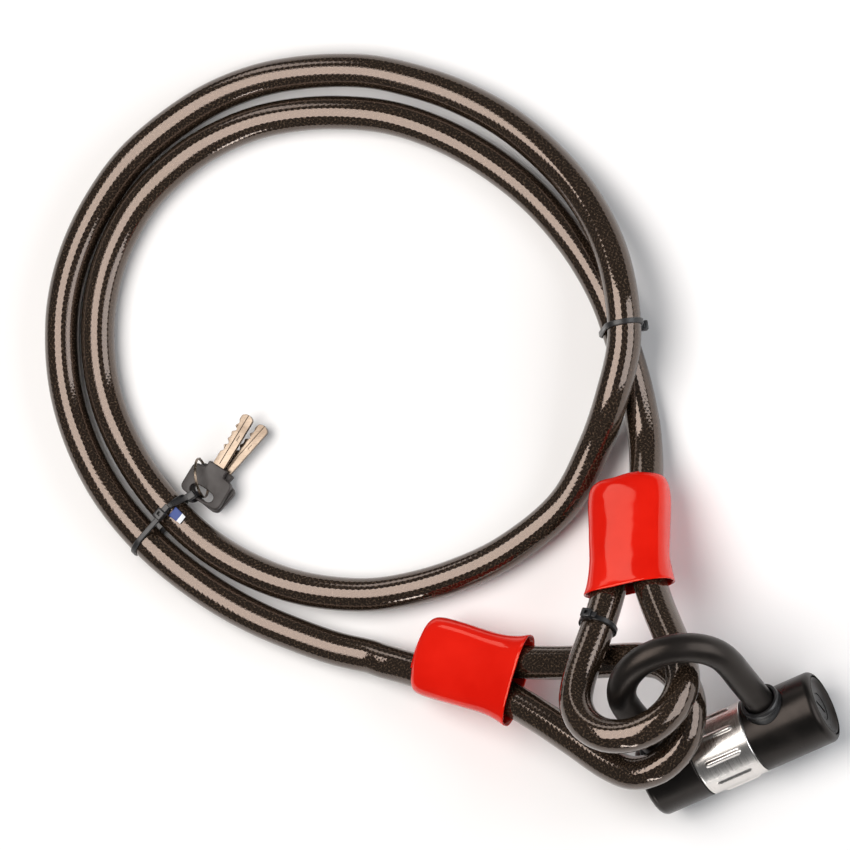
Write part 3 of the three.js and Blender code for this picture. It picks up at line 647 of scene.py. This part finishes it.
def ribbed_band():
    """Rolled steel band with long raised ribs pressed out of it."""
    start, end = BAND_FROM + GAP, BAND_TO - GAP
    middle = (start + end) / 2
    rows, around = 96, 432
    pitch = 2 * math.pi * BARREL_RADIUS / RIBS
    rings, lengths = [], []
    for i in range(rows + 1):
        x = start + (end - start) * i / rows
        ring = []
        edge = min(i, rows - i) / rows * (end - start)
        lip = -0.25 * max(0.0, 1 - edge / 0.5) ** 2
        for k in range(around):
            a = 2 * math.pi * k / around
            near = (a / (2 * math.pi) * RIBS - RIB_TURN + RIBS / 2) % RIBS - RIBS / 2
            side = (near - round(near)) * pitch
            over = max(0.0, abs(x - middle) - (RIB_LENGTH - RIB_WIDTH) / 2)
            d = math.hypot(over, side) / (RIB_WIDTH / 2)
            swell = 0.5 + 0.5 * math.cos(math.pi * min(1, d / RIB_FADE))
            rise = 0.0 if d >= RIB_FADE else RIB_HEIGHT * swell ** 0.75
            r = BARREL_RADIUS + BAND_PROUD + lip + rise
            ring.append((x, r * math.cos(a), r * math.sin(a)))
        rings.append(ring)
        lengths.append(x)
    inner = BARREL_RADIUS - SKIN
    turns = [2 * math.pi * k / around for k in range(around)]
    rings += [[(x, inner * math.cos(a), inner * math.sin(a)) for a in turns] for x in (end, start)]
    lengths += [end + 1.5, start - 1.5]
    verts, faces, uvs = skin(rings, [v / 30 for v in lengths], closed=True)
    return creased(outward(piece("steel_band", verts, faces, LOCK, uvs)), 50)


def collar(name, leg):
    """Ribbed seal ring where a shackle leg enters the barrel."""
    profile = [(12.5, 6.9), (19.6, 6.9), (20.1, 7.2), (20.3, 7.8), (20.1, 8.5), (19.7, 8.8)]
    for groove in (18.6, 17.4, 16.9):
        profile += [(groove + 0.45, 8.95), (groove + 0.1, 8.5), (groove - 0.25, 8.95)]
    profile += [(16.2, 9.0), (12.5, 9.0)]
    place = LOCK @ Matrix.Translation((leg, 0, 0))
    return creased(lathe(name, profile, place, 96, "y"))


def shackle_line(bottom):
    middle, half = (LEG_RIGHT + LEG_LEFT) / 2, (LEG_RIGHT - LEG_LEFT) / 2
    rise = [bottom + (STRAIGHT - bottom) * t for t in (0, 0.35, 0.7)]
    points = [(LEG_RIGHT, y, 0) for y in rise]
    points += [(middle + half * math.cos(math.pi * i / 10), STRAIGHT + half * math.sin(math.pi * i / 10), 0)
               for i in range(11)]
    return smooth(points + [(LEG_LEFT, y, 0) for y in rise[::-1]], 12)


right_cover = cover("right_end_cover", BAND_TO + GAP, BARREL_HALF, LEG_RIGHT, True)
stand(right_cover, CASE, ["right_end_cover"])
left_cover = cover("left_end_cover", BAND_FROM - GAP, -BARREL_HALF, LEG_LEFT, False)
stand(left_cover, CASE, ["left_end_cover"])
stand(ribbed_band(), BAND, ["steel_band"])
stand(collar("right_collar", LEG_RIGHT), NYLON, ["right_collar"])
stand(collar("left_collar", LEG_LEFT), NYLON, ["left_collar"])
coat = tube("shackle_coating", evenly(shackle_line(COAT_FROM), 1.6), SHACKLE_COAT, 40, place=LOCK)
stand(coat, COAT, ["shackle_coating"], "shackle")


# ---- Cable ties ----------------------------------------------------------
def tie_frame(place, across, along):
    z = Vector(along).normalized()
    x = (Vector(across) - z * Vector(across).dot(z)).normalized()
    return basis(x, z.cross(x), z, Vector(place))


def tie(name, place, spread, head_at, tail):
    """Nylon tie: plain band, square head with its slot, and the cut tail."""
    inner, thick, width = CABLE_RADIUS + 0.3, 0.9, 2.4
    count = 40
    ring = []
    for side in (1, -1):
        for i in range(count):
            a = -math.pi / 2 + math.pi * i / (count - 1)
            ring.append((side * math.cos(a), side * math.sin(a), side))
    outer = inner + thick
    section = [(inner, -width / 2), (inner, width / 2), (outer - 0.25, width / 2),
               (outer, width / 2 - 0.3), (outer, -width / 2 + 0.3), (outer - 0.25, -width / 2)]
    rings = [[(s * spread + r * c, r * v, z) for r, z in section] for c, v, s in ring]
    verts, faces, _ = skin(rings, closed=True)
    band = creased(outward(piece("band", verts, faces, place)))
    top = inner + thick - 0.4
    head = block("head", (head_at - 2.3, top, -2.1), (head_at + 2.3, top + 3.9, 2.1), place, 0.5)
    head = cut(head, block("slot", (head_at - 3, top + 1.5, -1.35), (head_at + 3, top + 2.7, 1.35), place),
               block("pawl", (head_at - 0.7, top + 2.5, -0.9), (head_at + 1.1, top + 5, 0.9), place))
    end_far = head_at + 2.3 + tail
    end = block("end", (head_at - 2.0, top + 1.55, -1.25), (end_far, top + 2.6, 1.25), place, 0.2)
    return join(name, [band, head, end])


holder = terminal_frame(TERMINALS["1"])
TIES = {
    "crossing_tie": (tie_frame(ground((94.3, 38, 17.1)), (-7.8, 0, -15.9), (0.17, -1, 0)), 9.0, 3, 2.5),
    "coil_tie": (tie_frame(ground((-122.15, -41.3, 9.2)), (12.5, 13.7, 0), (0.72, -0.69, 0)), 8.7, 5.1, 3),
    "eye_tie": (holder @ tie_frame((20, -14.6, 0), (0, 1, 0), (1, -0.336, 0)), 0.05, -1.5, 2),
}
for name, facts in TIES.items():
    stand(tie(name, *facts), NYLON, [name])


# ---- Keys, ring, strap and tag -------------------------------------------
def key_outline():
    """Head of a key: straight sides, a neck for the blade and a rounded foot."""
    l, w = KEY_BOW[0] / 2, KEY_BOW[1] / 2
    half = [(l, KEY_NECK, 0.7), (KEY_SHOULDER + 0.6, KEY_NECK, 0.9), (KEY_SHOULDER, w, 2.6),
            (KEY_BULGE - l, w, 2.6)]
    corners = [(x, -y, r) for x, y, r in half[::-1]] + half + [(-l, 0, 7.5)]
    out = []
    for i, (x, y, r) in enumerate(corners):
        here = Vector((x, y))
        before = (Vector(corners[i - 1][:2]) - here).normalized()
        after = (Vector(corners[(i + 1) % len(corners)][:2]) - here).normalized()
        for k in range(7):
            t = k / 6
            a, b = here + before * r, here + after * r
            out.append(tuple(a * (1 - t) ** 2 + here * 2 * t * (1 - t) + b * t * t))
    return out


def slot_outline(count=40):
    """Long slot across the head, wound the other way round."""
    out = []
    for i in range(count):
        a = -2 * math.pi * i / count
        c, s = math.cos(a), math.sin(a)
        x, y = math.copysign(abs(c) ** 0.75, c), math.copysign(abs(s) ** 0.75, s)
        out.append((SLOT_AT + SLOT[0] * x, SLOT[1] * y))
    return out


def blade_outline():
    """Rounded tip, with shallow cuts along one edge."""
    length, width, _ = KEY_BLADE
    start, end, w, tip = KEY_BLADE_FROM, KEY_BLADE_FROM + length, width / 2, 2.0
    turns = [math.pi / 2 * i / 6 for i in range(-6, 7)]
    shape = [(start, -w)] + [(end - tip + tip * math.cos(a), w * math.sin(a)) for a in turns]
    for i, depth in enumerate((0.7, 1.2, 0.5, 1.3, 0.9)):
        x = end - 5 - i * 3.4
        shape += [(x + 1.4, w), (x + 0.35, w - depth), (x - 0.35, w - depth), (x - 1.4, w)]
    return shape + [(start, w)]


def key_place(place, azimuth, level):
    at = ground((*place, KEY_LIFT + level * (KEY_BOW[2] + GAP)))
    return Matrix.Translation(at) @ Matrix.Rotation(math.radians(azimuth), 4, "Z")


for number, facts in KEYS.items():
    place = key_place(*facts)
    bow = plate("key_" + number + "_bow", [key_outline(), slot_outline()], 0, KEY_BOW[2], place, 0.5)
    stand(bow, BOW, ["key_" + number + "_bow"], "key_" + number)
    low = (KEY_BOW[2] - KEY_BLADE[2]) / 2
    top = low + KEY_BLADE[2]
    blade = plate("key_" + number + "_blade", [blade_outline()], low, top, place, 0.12)
    near, far = KEY_BOW[0] / 2 + 1.0, KEY_BLADE_FROM + KEY_BLADE[0] + 1
    grooves = [block("groove", (near, -0.55, top - 0.6), (far, 0.25, top + 1), place),
               block("groove", (near, -0.5, low - 2), (far, 0.6, low + 0.5), place)]
    for along, side in ((9.5, 1.6), (13.5, -1.7), (19.0, 1.5)):
        x = far - along
        grooves.append(block("pit", (x, side - 0.7, top - 0.5), (x + 2.6, side + 0.7, top + 1), place))
    stand(cut(blade, *grooves), NICKEL, ["key_" + number + "_blade"], "key_" + number)


def hole_middle():
    spots = []
    for (x, y), azimuth, _ in KEYS.values():
        a = math.radians(azimuth)
        spots.append(ground((x + SLOT_AT * math.cos(a), y + SLOT_AT * math.sin(a), 0)))
    return sum(spots, Vector()) / len(spots)


def hole_frame(azimuth):
    return Matrix.Translation(hole_middle()) @ Matrix.Rotation(math.radians(azimuth), 4, "Z")


def split_ring(radius=8.6, wire=0.42, back=1.6, azimuth=97):
    """Two close turns of wire, stepping over each other once."""
    turns, steps = 2, 96
    points = []
    for i in range(turns * steps + 1):
        a = 2 * math.pi * i / steps
        side = -0.42 + 0.84 * i / (turns * steps)
        x, z = radius - back + radius * math.cos(a), radius + 0.8 + radius * math.sin(a)
        points.append(Vector((x, side, z)))
    return tube("key_ring", points, wire, 12, place=hole_frame(azimuth))


def key_strap(radius=2.2, spread=2.0, thick=0.8, width=2.0, aside=-0.9, reach=4.2, azimuth=210):
    """Thin nylon strap looped through the slots, with its head and a tail to the coil tie."""
    middle = KEY_LIFT + KEY_BOW[2] + GAP / 2
    place = hole_frame(azimuth) @ Matrix.Translation((reach, aside, middle))
    rings = []
    for i in range(72):
        a = 2 * math.pi * i / 72
        s = math.copysign(spread, math.sin(a)) if abs(math.sin(a)) > 1e-6 else 0
        rings.append([(r * math.cos(a), y, r * math.sin(a) + s)
                      for r, y in ((radius, -width / 2), (radius, width / 2), (radius + thick, width / 2),
                                   (radius + thick, -width / 2))])
    verts, faces, _ = skin(rings, closed=True)
    loop = creased(outward(piece("loop", verts, faces, place)))
    top = radius + spread + thick / 2
    head = block("head", (-2, -1.7, top - 0.3), (2, 1.7, top + 2.6), place, 0.4)
    tail = []
    for i in range(13):
        t = i / 12
        x, z = 1 + 7.0 * t, top + 1.6 + 3.4 * t - 0.5 * math.sin(math.pi * t)
        tail.append([(x, -width / 2, z), (x, width / 2, z),
                     (x - 0.3, width / 2, z + thick), (x - 0.3, -width / 2, z + thick)])
    verts, faces, _ = skin(tail)
    return join("key_strap", [loop, head, creased(outward(piece("tail", verts, faces, place)))])


def paper_tag(size=(6.5, 5.0), at=(-111.2, -38.3, 16.9), azimuth=-40):
    """A scrap of printed paper curled over the cable."""
    columns, rows = 14, 10
    verts, uvs, faces = [], [], []
    for layer in (0, 0.16):
        for j in range(rows + 1):
            for i in range(columns + 1):
                u, v = i / columns, j / rows
                z = layer + 1.2 * (u - 0.5) ** 2 + 0.5 * max(0, u - 0.66) + 0.15 * math.sin(5 * v + 2 * u)
                verts.append(((u - 0.5) * size[0], (v - 0.5) * size[1] * (1 - 0.2 * u), z))
    wide = columns + 1
    half = wide * (rows + 1)
    for j in range(rows):
        for i in range(columns):
            a = j * wide + i
            quad = (a, a + 1, a + wide + 1, a + wide)
            place_on = [((q % wide) / columns, (q // wide) / rows) for q in quad]
            faces += [quad[::-1], tuple(q + half for q in quad)]
            uvs += [place_on[::-1], place_on]
    edge = [i for i in range(wide)] + [j * wide + columns for j in range(1, rows + 1)]
    edge += [rows * wide + i for i in range(columns - 1, -1, -1)] + [j * wide for j in range(rows - 1, 0, -1)]
    for a, b in zip(edge, edge[1:] + edge[:1]):
        faces.append((a, b, b + half, a + half))
        uvs.append([((q % wide) / columns, (q // wide) / rows) for q in (a, b, b, a)])
    place = Matrix.Translation(ground(at)) @ Matrix.Rotation(math.radians(azimuth), 4, "Z")
    return piece("paper_tag", verts, faces, place, uvs)


stand(split_ring(), NICKEL, ["key_ring"])
stand(key_strap(), NYLON, ["key_strap"])
stand(paper_tag(), PAPER, ["paper_tag"])


# ---- CAD pieces that keep their own shape --------------------------------
KEPT = {
    ROPE: ("cable_wire_rope", "eye_1_wire_rope", "eye_2_wire_rope"),
    ALLOY: ("ferrule_1", "ferrule_2"),
    ZINC: ("lock_body", "plug_cam"),
    STEEL: ("shackle_bar", "locking_slide", "slide_spring"),
    BRASS: ("cylinder_housing",),
    BLACKED: ("lock_plug",),
}
for material, names in KEPT.items():
    for name in names:
        for material_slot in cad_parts[name].material_slots:
            material_slot.material = material


# ---- Floor and lights ----------------------------------------------------
def floor():
    size, rise = 3.0, -0.0004
    mesh = bpy.data.meshes.new("floor")
    mesh.from_pydata([(-size, -size, rise), (size, -size, rise), (size, size, rise), (-size, size, rise)],
                     [], [(0, 1, 2, 3)])
    obj = bpy.data.objects.new("floor", mesh)
    bpy.context.collection.objects.link(obj)
    look = Look("floor_paper", 0.75)
    look.into("Base Color", look.blend(look.noise(3), (0.90, 0.90, 0.905), (0.93, 0.93, 0.93)))
    mesh.materials.append(look.material)


def softbox(name, toward_it, size, radiance, colour, away=1.25):
    """Rectangular lamp facing the middle of the object; toward_it is in the camera's axes."""
    x, y, z = toward_it
    direction = (right * x + up * y + toward * z).normalized()
    lamp = bpy.data.lights.new(name, "AREA")
    lamp.shape, lamp.size, lamp.size_y = "RECTANGLE", *size
    lamp.energy = radiance * math.pi * size[0] * size[1]
    lamp.color = colour
    lamp.spread = math.radians(180)
    obj = bpy.data.objects.new(name, lamp)
    across = (up.cross(direction)).normalized()
    obj.matrix_world = basis(across, direction.cross(across), direction, target + direction * away)
    bpy.context.collection.objects.link(obj)


floor()
softbox("left_softbox", (-0.56, 0.10, 0.83), (0.95, 1.15), 5.0, (1.0, 0.955, 0.92))
softbox("right_softbox", (0.70, 0.05, 0.71), (0.85, 1.15), 3.4, (0.95, 0.97, 1.0))
softbox("back_panel", (-0.54, 0.81, 0.22), (0.42, 0.26), 2.2, (1.0, 0.98, 0.96))
softbox("low_strip", (0.10, -0.985, 0.17), (0.9, 0.10), 9.0, (1.0, 1.0, 1.0), 1.1)
world = bpy.data.worlds.new("studio")
world.use_nodes = True
world.node_tree.nodes["Background"].inputs["Color"].default_value = (0.80, 0.82, 0.84, 1)
world.node_tree.nodes["Background"].inputs["Strength"].default_value = 0.12
bpy.context.scene.world = world
bpy.context.scene.view_settings.view_transform = "Standard"
